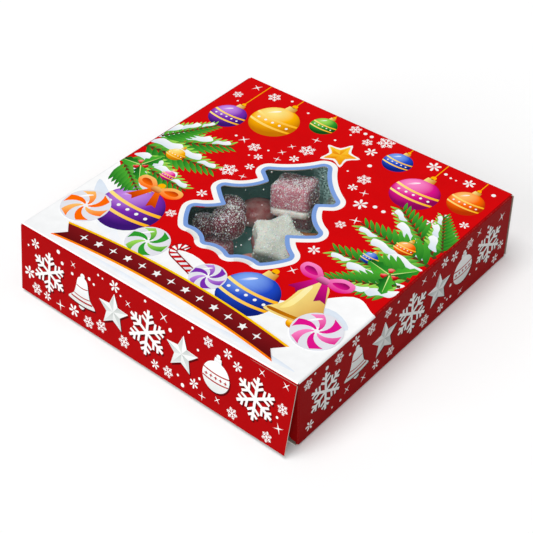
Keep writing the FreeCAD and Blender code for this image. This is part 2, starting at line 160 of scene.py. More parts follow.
# The varnish over board and ink: its roughness, its shine, and the share by which a fold turns pale, as wear
# of the print and as a painted highlight along the fold
VARNISH = 0.34
PRINT_SHINE = 0.02
FOLD_WEAR_AND_SHEEN = 0.14


def fibres(tree):
    """The greys of recycled paper fibres."""
    return tinted(tree, speckle(tree, 0.7, 0, 1, 6), "#8F857A", "#B3A99C")


def folding_board(name, ink, middle, edge_axis=None):
    """White-lined folding board: offset print under varnish on the side that faces away from middle, smooth
    with a faint orange peel and pale on its folds, partly from wear and partly as a painted highlight along
    them, and the grey recycled reverse with its fibres on the other. A cut edge, where the normal lies square
    to edge_axis, is pale paper."""
    material, tree = new_material(name)
    where = add(tree, "ShaderNodeTexCoord").outputs
    away = direct(tree, "SUBTRACT", where["Object"], middle)[0]
    printed = reckon(tree, "GREATER_THAN", direct(tree, "DOT_PRODUCT", away, where["Normal"])["Value"], 0.0)
    sides = direct(tree, "ABSOLUTE", where["Normal"])[0]
    parts = add(tree, "ShaderNodeSeparateXYZ", {0: sides}).outputs
    most = reckon(tree, "MAXIMUM", reckon(tree, "MAXIMUM", parts[0], parts[1]), parts[2])
    # Paler on the folds: wear of the print, and a painted highlight along the fold
    fold = ranged(tree, most, 0.95, 0.8, 0.0, FOLD_WEAR_AND_SHEEN)
    worn_and_sheen = reckon(tree, "MULTIPLY", fold, speckle(tree, 0.8, -0.6, 1.0, 5), use_clamp=True)
    ground = tinted(tree, speckle(tree, 9, 0, 0.12), ink, "#90060A")
    colour = tinted(tree, printed, fibres(tree), tinted(tree, worn_and_sheen, ground, "#D98A80"))
    if edge_axis:
        along = direct(tree, "DOT_PRODUCT", where["Normal"], edge_axis)["Value"]
        colour = tinted(tree, reckon(tree, "COMPARE", along, 0.0, 0.3), colour, "#D9D2C6")
    relief = reckon(tree, "SUBTRACT", speckle(tree, 0.5, 0, 1), printed)
    return coated(material, {
        "Base Color": colour,
        "Roughness": ranged(tree, printed, 0.0, 1.0, 0.88, VARNISH),
        "Normal": bumped(tree, 0.12, relief),
        "Specular IOR Level": PRINT_SHINE,
    })


def grey_reverse():
    """The bare back of the board: recycled grey fibres, matt."""
    material, tree = new_material("grey_board_reverse")
    rough = bumped(tree, 0.25, speckle(tree, 0.5, 0, 1))
    return coated(material, {"Base Color": fibres(tree), "Roughness": 0.9, "Normal": rough})


def cut_edge():
    """The die-cut edge of the board: pale paper plies."""
    material, tree = new_material("cut_board_edge")
    plies = tinted(tree, speckle(tree, 0.25, 0, 1), "#CFC6B8", "#E4DED2")
    return coated(material, {"Base Color": plies, "Roughness": 0.9})


def printing_ink():
    """Offset inks under the same varnish, coloured by the piece's own ink attribute, with a faint mottle."""
    material, tree = new_material("varnished_printing_ink")
    ink = add(tree, "ShaderNodeAttribute", attribute_name="ink").outputs["Color"]
    shade = add(tree, "ShaderNodeHueSaturation", {"Color": ink, "Value": speckle(tree, 6, 0.95, 1.0)})
    return coated(material, {
        "Base Color": shade.outputs[0],
        "Roughness": VARNISH,
        "Normal": bumped(tree, 0.08, speckle(tree, 0.5, 0, 1)),
        "Specular IOR Level": PRINT_SHINE,
    })


def clear_film():
    """Oriented polypropylene window film: clear, a mirror at a slant, a faint pale haze all over, partly sugar
    dust and partly a painted reflection, and matt sugar dust on its inside that lies thicker in one corner."""
    material, tree = new_material("clear_window_film")
    slant = add(tree, "ShaderNodeLayerWeight", {"Blend": 0.5}).outputs["Facing"]
    shine = reckon(tree, "POWER", slant, 5.0)
    where = add(tree, "ShaderNodeTexCoord").outputs["Object"]
    rear_right = 0.7071, 0.7071, 0
    reach = direct(tree, "DOT_PRODUCT", where, rear_right)["Value"]
    corner = ranged(tree, reach, 25 * MM, 36 * MM, 0.0, 0.9)
    # The haze all over is partly sugar dust and partly a painted reflection that lifts the dark inside
    veil_and_painted_reflection = speckle(tree, 14, 0.002, 0.016, 5)
    # The sum is the corner's sugar dust plus the haze, which is partly painted reflection
    dust = reckon(tree, "MULTIPLY_ADD", speckle(tree, 1.1, -0.3, 0.9, 4), corner, veil_and_painted_reflection, use_clamp=True)
    return coated(material, {
        "Base Color": linear("#C4ECE6"),
        "Metallic": slant,
        "Roughness": 0.12,
        "Alpha": reckon(tree, "ADD", shine, dust, use_clamp=True),
    })


def dried_glue():
    """Dispersion glue, dried to a milky skin with a few lumps."""
    material, tree = new_material("dried_dispersion_glue")
    lumps = speckle(tree, 2.5, 0, 1)
    skin = tinted(tree, lumps, "#D9D3C0", "#EFEBDF")
    return coated(material, {"Base Color": skin, "Roughness": 0.45, "Normal": bumped(tree, 0.3, lumps)})


def lightened_tray_sheet():
    """Thermoformed teal polystyrene sheet: glossy, with the slow ripple of a drawn sheet. Its teal is lighter
    than the sheet's own, as painted light in the carton's dim inside.
    """
    material, tree = new_material("thermoformed_polystyrene_lightened")
    return coated(material, {
        # Lighter than the sheet's own teal: painted light for the carton's dim inside
        "Base Color": tinted(tree, speckle(tree, 20, 0, 1), "#6CBAB0", "#8CD0C6"),
        "Roughness": speckle(tree, 5, 0.3, 0.45),
        "Normal": bumped(tree, 0.2, speckle(tree, 8, 0, 1), 0.4),
    })


def jelly(name, deep, pale, roughness, glow=0.35, frost=0.0):
    """Moulded starch or gelatine jelly: light sinks in a few millimetres, the skin is a little uneven, and
    frost is the share of fine sugar dust on it."""
    material, tree = new_material(name)
    body = tinted(tree, speckle(tree, 5, 0, 1), deep, pale)
    if frost:
        body = tinted(tree, speckle(tree, 0.8, -1.2 + 2 * frost, 0.3 + frost, 5), body, "#E9E6E2")
    return coated(material, {
        "Base Color": body,
        "Roughness": roughness,
        "Normal": bumped(tree, 0.5 if frost else 0.15, speckle(tree, 0.9, 0, 1, 5), 0.25),
        "Subsurface Weight": glow,
        "Subsurface Radius": (1.0, 0.45, 0.4),
        "Subsurface Scale": 2.5 * MM,
        "IOR": 1.42,
    })


def sugar_crystal():
    """Granulated sugar: small clear crystals with flat facets that flash."""
    material, tree = new_material("granulated_sugar")
    return coated(material, {
        "Base Color": tinted(tree, speckle(tree, 1.5, 0, 1), "#FFFFFF", "#DAD6D4"),
        "Roughness": 0.18,
        "IOR": 1.54,
        "Subsurface Weight": 0.3,
        "Subsurface Scale": 0.5 * MM,
    })


INK = printing_ink()
REVERSE = grey_reverse()
CUT = cut_edge()
SUGAR = sugar_crystal()


# Panels: where a point printed on each one lies, from millimetres on the panel to metres in the frame

def on_top(spot):
    return Vector((spot.x * MM, spot.y * MM, HEIGHT + spot.z * MM))


def over_fold(outward, along):
    """The place on a fold's quarter round, by its directions out of the box and along the fold."""
    def place(spot):
        angle = -spot.y * MM / CREASE
        reach = CREASE + spot.z * MM
        out = HALF_WIDTH - CREASE + reach * math.sin(angle)
        high = HEIGHT - CREASE + reach * math.cos(angle)
        return Vector(outward) * out + Vector(along) * (spot.x * MM) + Vector((0, 0, high))
    return place


def on_right(spot):
    return Vector((HALF_WIDTH + spot.z * MM, spot.x * MM, HEIGHT / 2 + spot.y * MM))


def on_left(spot):
    return Vector((-HALF_WIDTH - spot.z * MM, -spot.x * MM, HEIGHT / 2 + spot.y * MM))


def on_front(spot):
    """The front flap, flared and a little twisted; its middle height is y = 0."""
    angle = FLARE + TWIST * spot.x / PANEL_HALF
    down = FLAP_LENGTH / 2 - spot.y * MM
    out = spot.z * MM
    return Vector((
        spot.x * MM,
        FRONT_HINGE.y - down * math.sin(angle) - out * math.cos(angle),
        FRONT_HINGE.z - down * math.cos(angle) + out * math.sin(angle),
    ))


def on_rear(spot):
    return Vector((-spot.x * MM, HALF_DEPTH + spot.z * MM, HEIGHT - FLAP_LENGTH / 2 + spot.y * MM))


# Drawing in ink

INK_LEVEL = 0.01  # one level's thickness in millimetres
PLAIN_LIT = 0.62  # how squarely light falls where a drawn ball has its plain colour


class Print:
    """Ink on one panel: flat closed shapes in millimetres, each a hair above those of a lower level."""

    def __init__(self, half_x, half_y):
        self.halves = half_x, half_y
        self.mesh = bmesh.new()
        self.ink = self.mesh.verts.layers.float_color.new("ink")
        self.height = self.mesh.verts.layers.float.new("height")
        self.flat = []

    def fill(self, outline, level, near, far=None, towards=(0, -1)):
        """A flat shape whose colour runs from near to far along a direction."""
        kept = clipped(outline, *self.halves)
        if len(kept) < 3:
            return
        verts = [self.mesh.verts.new((x, y, -INK_LEVEL)) for x, y in kept]
        self.flat.append(self.mesh.faces.new(verts))
        self.paint(verts, level, near, far or near, towards)

    def band(self, line, width, level, tint):
        """A band of even width round the outside of a closed line."""
        pairs = outset(line, width)
        for (near, far), (near_after, far_after) in zip(pairs, pairs[1:] + pairs[:1]):
            corners = [tuple(near), tuple(near_after), tuple(far_after), tuple(far)]
            outline = list(dict.fromkeys(corners))
            if len(outline) > 2:
                self.fill(outline, level, tint)

    def paint(self, verts, level, near, far, towards):
        way = Vector(towards).normalized()
        reach = [vert.co.xy.dot(way) for vert in verts]
        low, span = min(reach), max(max(reach) - min(reach), INK_LEVEL)
        one, other = Vector(linear(near)), Vector(linear(far))
        for vert, along in zip(verts, reach):
            vert[self.ink] = one.lerp(other, (along - low) / span)
            vert[self.height] = INK_LEVEL * (level + 1)

    def ball(self, centre, radius, level, shades):
        """A shaded ball: a low lens lit from the upper left, in dark, plain and light shades."""
        height = INK_LEVEL * (level + 2)
        place = Matrix.Translation((*centre, 0)) @ Matrix.Diagonal((radius, radius, height, 1))
        lens = bmesh.ops.create_uvsphere(self.mesh, u_segments=32, v_segments=14, radius=1, matrix=place)
        dark, plain, light = (Vector(linear(shade)) for shade in shades)
        lamp = Vector((-0.45, 0.55, 0.7)).normalized()
        for vert in lens["verts"]:
            flat = (vert.co.xy - Vector(centre)) / radius
            lift = math.sqrt(max(0, 1 - flat.length_squared))
            lit = max(0, Vector((*flat, lift)).dot(lamp))
            if lit < PLAIN_LIT:
                vert[self.ink] = dark.lerp(plain, lit / PLAIN_LIT)
            else:
                vert[self.ink] = plain.lerp(light, (lit - PLAIN_LIT) / (1 - PLAIN_LIT))

    def settle(self, name, place, body):
        """Put the ink on its panel and make it a piece that rides on a body."""
        for vert in extruded(self.mesh, self.flat):
            vert.co.z = vert[self.height]
        bmesh.ops.recalc_face_normals(self.mesh, faces=self.mesh.faces)
        for vert in self.mesh.verts:
            vert.co = place(vert.co)
        piece = piece_from(self.mesh, name, INK)
        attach(piece, body)


def packed(node):
    """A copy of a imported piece's mesh, with its corners merged."""
    mesh = bmesh.new()
    mesh.from_mesh(frame["nodes"][node].data)
    bmesh.ops.remove_doubles(mesh, verts=mesh.verts, dist=MERGE)
    return mesh


def extruded(mesh, faces):
    """The new corners of faces that are extruded in place."""
    made = bmesh.ops.extrude_face_region(mesh, geom=faces)["geom"]
    return [part for part in made if isinstance(part, bmesh.types.BMVert)]


def piece_from(mesh, name, *materials):
    """A new object from a bmesh, at the origin."""
    data = bpy.data.meshes.new(name)
    mesh.to_mesh(data)
    mesh.free()
    for material in materials:
        data.materials.append(material)
    piece = bpy.data.objects.new(name, data)
    bpy.context.scene.collection.objects.link(piece)
    return piece


# Outlines, as lists of (x, y) in millimetres

def clipped(outline, half_x, half_y):
    """The part of an outline that lies on its panel."""
    for axis, limit in ((0, half_x), (1, half_y)):
        for side in (1, -1):
            kept = []
            for spot, after in zip(outline, outline[1:] + outline[:1]):
                here, there = side * spot[axis] - limit, side * after[axis] - limit
                if here <= 0:
                    kept.append(spot)
                if here * there < 0:
                    share = here / (here - there)
                    kept.append(tuple(a + (b - a) * share for a, b in zip(spot, after)))
            outline = kept
    return outline


def circle(x, y, radius, points=16):
    turns = [2 * math.pi * i / points for i in range(points)]
    return [(x + radius * math.cos(turn), y + radius * math.sin(turn)) for turn in turns]


def moved(outline, x=0, y=0, turn=0, size=1, flip=1):
    """An outline scaled, mirrored, turned by degrees and moved."""
    c, s = math.cos(math.radians(turn)) * size, math.sin(math.radians(turn)) * size
    return [(x + flip * u * c - v * s, y + flip * u * s + v * c) for u, v in outline]


def curve(spots, steps):
    """A smooth line through points, from the second one up to the last but one."""
    line = []
    for before, spot, after, beyond in zip(spots, spots[1:], spots[2:], spots[3:]):
        handles = spot + (after - before) / 6, after - (beyond - spot) / 6
        line += interpolate_bezier(spot, *handles, after, steps + 1)[:-1]
    return [(spot.x, spot.y) for spot in line]


def smooth(points, steps=5):
    """A closed smooth line through a few points."""
    spots = [Vector((*point, 0)) for point in points]
    return curve(spots[-1:] + spots + spots[:2], steps)


def smooth_open(points):
    """A smooth line through a few points that stops at both ends."""
    spots = [Vector((*point, 0)) for point in points]
    start, end = spots[0] * 2 - spots[1], spots[-1] * 2 - spots[-2]
    return curve([start] + spots + [end], 6) + [tuple(spots[-1].xy)]


def star(points, tip, waist):
    """A star with its first point turned up."""
    corners = []
    for i in range(2 * points):
        angle = math.pi / 2 + math.pi * i / points
        reach = waist if i % 2 else tip
        corners.append((reach * math.cos(angle), reach * math.sin(angle)))
    return corners


def bar(start, end, width, end_width=None):
    """A straight stroke."""
    a, b = Vector(start), Vector(end)
    side = (b - a).orthogonal().normalized() / 2
    wide, narrow = side * width, side * (width if end_width is None else end_width)
    return [tuple(spot) for spot in (a + wide, a - wide, b - narrow, b + narrow)]


# Small winter ornaments, which any panel may carry

WHITE = "#F7F7F5"
SHADOW = "#5C060A"


def petal_flake(sheet, x, y, size, turn, level):
    """A simple snowflake of six round-ended petals."""
    petal = smooth([(0.10, 0), (0.55, 0.17), (0.92, 0.15), (1.0, 0), (0.92, -0.15), (0.55, -0.17)], 3)
    for i in range(6):
        sheet.fill(moved(petal, x, y, turn + 60 * i, size), level + 0.1 * i, WHITE)


def branched_flake(sheet, x, y, size, turn, level, tint=WHITE):
    """A snowflake of six arms with two pairs of side branches."""
    strokes = [((0, 0), (1, 0), 0.13)]
    for root, reach in ((0.42, 0.30), (0.68, 0.22)):
        for side in (1, -1):
            strokes.append(((root, 0), (root + reach * 0.7, side * reach), 0.11))
    for i in range(6):
        for j, (start, end, width) in enumerate(strokes):
            outline = moved(bar(start, end, width), x, y, turn + 60 * i, size)
            sheet.fill(outline, level + 0.1 * i + 0.02 * j, tint)


def sparkle(sheet, x, y, size, turn, level):
    """A four-pointed glint."""
    sheet.fill(moved(star(4, 1, 0.16), x, y, turn, size), level, WHITE)


def dot(sheet, x, y, size, turn, level):
    sheet.fill(circle(x, y, size, 12), level, WHITE)


# What falls as snow, in turn: the kind, and its least and greatest size; and the least room between two
SNOW_KINDS = [
    (petal_flake, 2.6, 4.6), (branched_flake, 3.0, 5.2), (sparkle, 2.2, 4.0),
    (dot, 0.6, 1.3), (dot, 0.5, 0.9),
]
SNOW_ROOM = 1.6
SNOW_TRIES = 4000


def snowfall(sheet, seed, count, allowed, level, half_x, half_y):
    """Up to so many flakes, glints and dots scattered where they are allowed, none on another."""
    draw = random.Random(seed)
    taken = []
    for _ in range(SNOW_TRIES):
        if len(taken) == count:
            break
        kind, least, most = SNOW_KINDS[len(taken) % len(SNOW_KINDS)]
        size = draw.uniform(least, most)
        x, y = draw.uniform(-half_x, half_x), draw.uniform(-half_y, half_y)
        clear = all(math.hypot(x - u, y - v) > size + other + SNOW_ROOM for u, v, other in taken)
        if clear and allowed(x, y, size):
            taken.append((x, y, size))
            kind(sheet, x, y, size, draw.uniform(0, 60), level)


# Larger motifs

GOLD = ("#C77400", "#FFB400", "#FFE98A")
PURPLE = ("#3B1470", "#7A2BB0", "#C98BE8")
BLUE = ("#0B1F78", "#1F49C4", "#7FA8F5")
MAGENTA = ("#8A0456", "#E0148C", "#FF8CCB")
GREEN = ("#0C4A16", "#2E9A2C", "#A6E05A")
ORANGE = ("#B83200", "#FF6A00", "#FFC46B")


def bauble(sheet, x, y, radius, shades, level, string=None):
    """A glass ball with a gold cap, two bands, a highlight, and a thread up to where it hangs."""
    if string is not None:
        sheet.fill(bar((x, y + radius), (x, string), 0.5), level, GOLD[1])
    cap = moved([(-0.24, 0.95), (0.24, 0.95), (0.20, 1.22), (-0.20, 1.22)], x, y, size=radius)
    sheet.fill(cap, level + 1, GOLD[2], GOLD[0], (1, 0))
    sheet.fill(moved(circle(0, 1.30, 0.12), x, y, size=radius), level + 1, GOLD[1])
    sheet.ball((x, y), radius, level + 1, shades)
    for low, high in ((-0.34, -0.22), (0.16, 0.28)):
        band = []
        for edge, way in ((low, 1), (high, -1)):
            reach = math.sqrt(1 - edge * edge) * 0.985
            steps = [way * (i / 6 - 1) for i in range(13)]
            band += [(reach * step, edge - 0.12 * (1 - step * step)) for step in steps]
        sheet.fill(moved(band, x, y, size=radius), level + 3.2, GOLD[2], GOLD[1], (1, -0.4))
    for i in range(5):
        across = (i - 2) * 0.34
        sheet.fill(circle(x + across * radius, y - 0.09 * radius, radius * 0.06, 10), level + 3.2, WHITE)
    shine = smooth([(-0.62, 0.30), (-0.42, 0.60), (-0.20, 0.72), (-0.36, 0.50)], 4)
    sheet.fill(moved(shine, x, y, size=radius), level + 3.6, "#FFFFFF", shades[2])


def mint(sheet, x, y, radius, shades, level):
    """A round boiled sweet with a pinwheel of bent stripes."""
    sheet.fill(circle(x, y, radius * 1.06, 36), level, "#E4E4EC")
    sheet.ball((x, y), radius, level, ("#C9C9D6", "#F4F4F6", "#FFFFFF"))
    arms, bend = 6, 0.9
    spoke = [0.12 + 0.88 * step / 6 for step in range(7)]
    for i in range(arms):
        stripe = []
        for offset, line in ((0.0, spoke), (math.pi / arms, spoke[::-1])):
            turn = 2 * math.pi * i / arms + offset
            stripe += [(r * math.cos(turn + bend * r), r * math.sin(turn + bend * r)) for r in line]
        tone = shades[2] if i % 2 else shades[1]
        sheet.fill(moved(stripe, x, y, size=radius), level + 2.4, tone, shades[1], (1, -1))
    shine = smooth([(-0.66, 0.26), (-0.46, 0.58), (-0.22, 0.72), (-0.42, 0.46)], 4)
    sheet.fill(moved(shine, x, y, size=radius), level + 3, "#FFFFFF")


def bow(sheet, x, y, size, shades, level):
    """A tied ribbon bow with two tails."""
    loop = smooth([(0.05, 0.02), (0.45, 0.46), (0.95, 0.44), (1.02, 0.10), (0.62, -0.16)], 5)
    inside = smooth([(0.30, 0.10), (0.60, 0.32), (0.86, 0.28), (0.84, 0.10), (0.58, 0.02)], 5)
    tail = [(0.0, 0.0), (0.20, 0.02), (0.74, -0.86), (0.50, -0.82), (0.36, -0.98)]
    knot = smooth([(-0.17, 0.14), (0.17, 0.14), (0.20, -0.12), (-0.20, -0.12)], 4)
    for flip in (1, -1):
        place = {"x": x, "y": y, "size": size, "flip": flip}
        sheet.fill(moved(tail, **place), level, shades[1], shades[0])
        sheet.fill(moved(loop, **place), level + 1, shades[2], shades[1], (0.2, -1))
        sheet.fill(moved(inside, **place), level + 2, shades[0], shades[1])
    sheet.fill(moved(knot, x, y, size=size), level + 3, shades[2], shades[0])


def bell_outline():
    half = [(0.34, 0.82), (0.46, 0.30), (0.62, -0.22), (0.98, -0.56), (0.90, -0.70)]
    return smooth([(0, 1.0)] + half + [(0, -0.80)] + [(-u, v) for u, v in half[::-1]], 4)


def bell(sheet, x, y, size, turn, level):
    """A gold hand bell with a lighter flank, a dark mouth and a clapper."""
    sheet.ball(moved([(0, -0.86)], x, y, turn, size)[0], size * 0.22, level, GOLD)
    sheet.fill(moved(bell_outline(), x, y, turn, size), level + 2.6, GOLD[2], GOLD[0], (1, -0.3))
    flank = [(-0.26, 0.70), (-0.12, 0.66), (-0.30, -0.20), (-0.60, -0.46), (-0.52, -0.20), (-0.38, 0.22)]
    sheet.fill(moved(smooth(flank, 4), x, y, turn, size), level + 3.2, "#FFF3B8", GOLD[2])
    rim = smooth([(-0.86, -0.52), (0, -0.62), (0.86, -0.52), (0.84, -0.64), (0, -0.74), (-0.84, -0.64)], 4)
    sheet.fill(moved(rim, x, y, turn, size), level + 3.2, "#A85C00", "#E08A00", (1, 0))


def leaf(sheet, x, y, size, turn, level):
    """A holly leaf in two greens, with a pale rib."""
    half = [(0, 0), (0.12, 0.16), (0.22, 0.13), (0.34, 0.28), (0.46, 0.18), (0.60, 0.28), (0.72, 0.15),
            (0.86, 0.16), (1.0, 0)]
    sheet.fill(moved(half, x, y, turn, size), level, GREEN[1], "#57B832", (1, 0.5))
    sheet.fill(moved([(u, -v) for u, v in half], x, y, turn, size), level + 0.1, GREEN[0], GREEN[1], (1, 0))
    sheet.fill(moved(bar((0.04, 0), (0.9, 0), 0.05, 0.01), x, y, turn, size), level + 0.8, "#CDEB8B")


def holly(sheet, x, y, size, turn, level):
    """Three holly leaves round three berries."""
    for i, spread in enumerate((150, 30, 270)):
        leaf(sheet, x, y, size, turn + spread, level + i)
    for i in range(3):
        spot = moved([(0.17, 0)], x, y, turn + 90 + 120 * i, size)[0]
        sheet.ball(spot, size * 0.17, level + 3, ("#7A0008", "#E0101A", "#FF9A90"))


def sprig(sheet, x, y, size, turn, level):
    """A fir twig: a stem with paired needles that shorten to its tip, and snow lying along it."""
    sheet.fill(moved(bar((0, 0), (0.97, 0), 0.05, 0.015), x, y, turn, size), level, "#5A3A1C")
    needle = smooth([(0, 0), (0.45, 0.12), (1.0, 0.0), (0.45, -0.12)], 3)
    lit_way = math.cos(math.radians(turn)), 0.6
    pairs = 11
    for i in range(pairs):
        along = 0.04 + 0.90 * i / pairs
        reach = 0.40 * (1 - 0.62 * i / pairs)
        for side in (1, -1):
            root = moved([(along, 0)], x, y, turn, size)[0]
            tone = ("#17701F", "#4FB034") if side < 0 else ("#2A962A", "#A9E25C")
            outline = moved(needle, *root, turn + side * (48 - 1.2 * i), reach * size)
            sheet.fill(outline, level + 0.4 + 0.1 * (i % 4), *tone, towards=lit_way)
    drift = smooth([
        (-1, -0.2), (-0.5, 0.42), (0.2, 0.30), (0.8, 0.46), (1.1, -0.1), (0.4, -0.30), (-0.3, -0.16),
    ], 4)
    for i, (along, across, length) in enumerate(((0.20, 0.13, 0.20), (0.52, 0.10, 0.16), (0.80, 0.05, 0.11))):
        spot = moved([(along, across)], x, y, turn, size)[0]
        sheet.fill(moved(drift, *spot, turn, length * size), level + 1.2 + 0.2 * i, "#FFFFFF", "#D5E2EE")


def cane(sheet, x, y, size, turn, level):
    """A striped candy cane: a straight stick with a hooked top, and a dark rim."""
    line = [(0, -1 + 1.3 * i / 8) for i in range(9)]
    hook = [math.pi * i / 10 for i in range(1, 11)]
    line += [(0.30 - 0.30 * math.cos(angle), 0.30 + 0.34 * math.sin(angle)) for angle in hook]
    half_width, rim = 0.125, 0.05
    left, right = [], []
    for i, spot in enumerate(line):
        before, after = line[max(i - 1, 0)], line[min(i + 1, len(line) - 1)]
        way = (Vector(after) - Vector(before)).normalized()
        side = Vector((-way.y, way.x)) * half_width
        left.append(tuple(Vector(spot) + side))
        right.append(tuple(Vector(spot) - side))
    place = {"x": x, "y": y, "turn": turn, "size": size}
    stick = left + right[::-1]
    for across, along in ((rim, 0), (-rim, 0), (0, rim), (0, -rim)):
        edge = [(u + across, v + along) for u, v in stick]
        sheet.fill(moved(edge, **place), level + across + 2 * along, "#8A0A10")
    sheet.fill(moved(stick, **place), level + 0.6, "#FFFFFF", "#D9D9E2", (1, -0.4))
    for i in range(0, len(line) - 2, 2):
        stripe = [left[i + 1], left[i + 2], right[i + 1], right[i]]
        sheet.fill(moved(stripe, **place), level + 1.2, "#E81A22", "#A80A12", (1, -0.4))


def faceted(sheet, points, x, y, size, level, *tints):
    """The shaded half of each point of a five-pointed star."""
    for i in range(5):
        facet = [(0, 0), points[2 * i], points[2 * i + 1]]
        sheet.fill(moved(facet, x, y, size=size), level, *tints)


def gold_star(sheet, x, y, size, level):
    """A rounded five-pointed star in gold with a white margin."""
    points = star(5, 1, 0.50)
    sheet.fill(moved(smooth(star(5, 1.20, 0.66), 3), x, y, size=size), level, WHITE)
    sheet.fill(moved(smooth(points, 3), x, y, size=size), level + 1, "#FFD23A", "#F08A00", (0.6, -1))
    faceted(sheet, points, x, y, size * 0.86, level + 2, "#FFC21E", "#E87E00", (0.6, -1))


# The top panel's print

def window_loop():
    """The window's edge on the top panel, in millimetres, read from a merged copy of its mesh."""
    mesh = packed("top_panel")
    low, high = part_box("window_film")
    rim = {}
    for edge in mesh.edges:
        tops = [abs(vert.co.z - HEIGHT) < MERGE for vert in edge.verts]
        inside = all(low.x < vert.co.x < high.x and low.y < vert.co.y < high.y for vert in edge.verts)
        upright = [abs(face.normal.z) < 0.5 for face in edge.link_faces]
        if all(tops) and inside and any(upright) and not all(upright):
            one, other = edge.verts
            rim.setdefault(one.index, []).append(other.index)
            rim.setdefault(other.index, []).append(one.index)
    spots = {vert.index: (vert.co.x / MM, vert.co.y / MM) for vert in mesh.verts}
    mesh.free()
    start = next(iter(rim))
    line, before, here = [spots[start]], start, rim[start][0]
    while here != start:
        line.append(spots[here])
        before, here = here, next(spot for spot in rim[here] if spot != before)
    return line


def evenly(line, step):
    """The same closed line with points at an even small step."""
    spots = [Vector(spot) for spot in line]
    dense = []
    for spot, after in zip(spots, spots[1:] + spots[:1]):
        count = max(1, math.ceil((after - spot).length / step))
        dense += [spot.lerp(after, i / count) for i in range(count)]
    return dense


def outset(line, width):
    """Points along a closed line, each with its partner on the line at an even distance outside it."""
    step, bend, least = 0.6, 0.2, 0.985 * width
    spots = evenly(line, step)
    area = sum(a.cross(b) for a, b in zip(spots, spots[1:] + spots[:1]))
    side = math.copysign(width, area)
    pairs = []
    for before, spot, after in zip(spots[-1:] + spots, spots, spots[1:] + spots[:1]):
        first, last = (spot - before).normalized(), (after - spot).normalized()
        steps = 1 + round(abs(first.angle_signed(last)) / bend)
        for i in range(steps):
            way = first.lerp(last, (i + 0.5) / steps).normalized()
            pairs.append((spot, spot + Vector((way.y, -way.x)) * side))
    # Inside a corner the partners would cross, so those too near the line move to the nearest good one.
    count = len(pairs)
    good = [all((far - other).length > least for other in spots) for _, far in pairs]
    partners = []
    for i, (near, _) in enumerate(pairs):
        best = next(j for step in range(count) for j in (i - step, (i + step) % count) if good[j])
        partners.append((near, pairs[best][1]))
    return partners


WINDOW = window_loop()


def in_window(x, y):
    crossings = 0
    for (u, v), (w, z) in zip(WINDOW, WINDOW[1:] + WINDOW[:1]):
        if (v > y) != (z > y) and x < u + (y - v) * (w - u) / (z - v):
            crossings += 1
    return crossings % 2 == 1


def beside_window(x, y, reach):
    """True if a spot is at least reach away from the window."""
    return all(math.hypot(x - u, y - v) > reach for u, v in WINDOW) and not in_window(x, y)


# On the top, in millimetres from its middle: half its flat width, where the snow meets the side edges, the
# width, level and colour of the rings, the star, the baubles with their radius, and the twigs with their
# length and turn
EDGE = PANEL_HALF - CREASE / MM
SNOW = "#F6F7F8"
SNOW_RIGHT, SNOW_LEFT = -32, -20
WINDOW_RINGS = (5.2, 5, WHITE), (2.4, 6, "#7C9FDD")
STAR_X, STAR_Y = -1, 60
HUNG_BAUBLES = [
    (-73, 50, 11, PURPLE), (-49, 62, 14.5, GOLD), (-25, 76, 8, GREEN),
    (27, 74, 8.5, BLUE), (50, 57, 13.5, MAGENTA), (75, 67, 10, ORANGE),
]
SMALL_BAUBLES = [(-70, 4, 6, GOLD), (-60, -13, 5, MAGENTA), (72, 17, 6, ORANGE), (63, 0, 5, BLUE)]
FIR_TWIGS = [
    (-88, 6, 46, 32), (-89, 0, 48, 8), (-88, -14, 46, -4), (-87, -19, 40, -30), (-88, 12, 34, 58),
    (88, 20, 46, 148), (89, 13, 48, 172), (88, -2, 46, 186), (87, -8, 40, 210), (88, 26, 32, 122),
]


def ribbon(sheet):
    """A maroon ribbon with a gold edge, forked ends and small stars, bowed along the front."""
    half, middle, rise, deep = 72, -80, 5, 6.2

    def arch(x):
        return middle + rise * (1 - (x / half) ** 2)

    steps = [half * (i / 12 - 1) for i in range(25)]
    for level, margin, tints in ((28, 0, ("#FFD400", "#FF6A00")), (29, 1.1, ("#8A151A", "#5E0C10"))):
        top = [(x * (1 - margin / half), arch(x) + deep - margin) for x in steps]
        low = [(x * (1 - margin / half), arch(x) - deep + margin) for x in steps[::-1]]
        fork = 7 - margin
        right, left = (half - fork, arch(half)), (fork - half, arch(half))
        sheet.fill(top + [right] + low + [left], level, *tints)
    for i in range(-6, 7):
        x = i * 9.4
        outline = star(5, 2.6, 1.2) if i % 2 else star(4, 2.8, 0.7)
        sheet.fill(moved(outline, x, arch(x)), 30, WHITE)


def red_ground(x, y, size):
    """Room for a flake: beside the window, the star, the baubles and threads, the twigs and the snow."""
    clear = beside_window(x, y, size + 6) and math.hypot(x - STAR_X, y - STAR_Y) > size + 13
    for u, v, radius, _ in HUNG_BAUBLES:
        beside = math.hypot(x - u, y - v) > size + radius * 1.4
        clear = clear and beside and (abs(x - u) > size + 0.8 or y < v)
    return clear and y - size > -40 and (abs(x) < 40 or y > 34) and (abs(x) > 26 or y > -20)


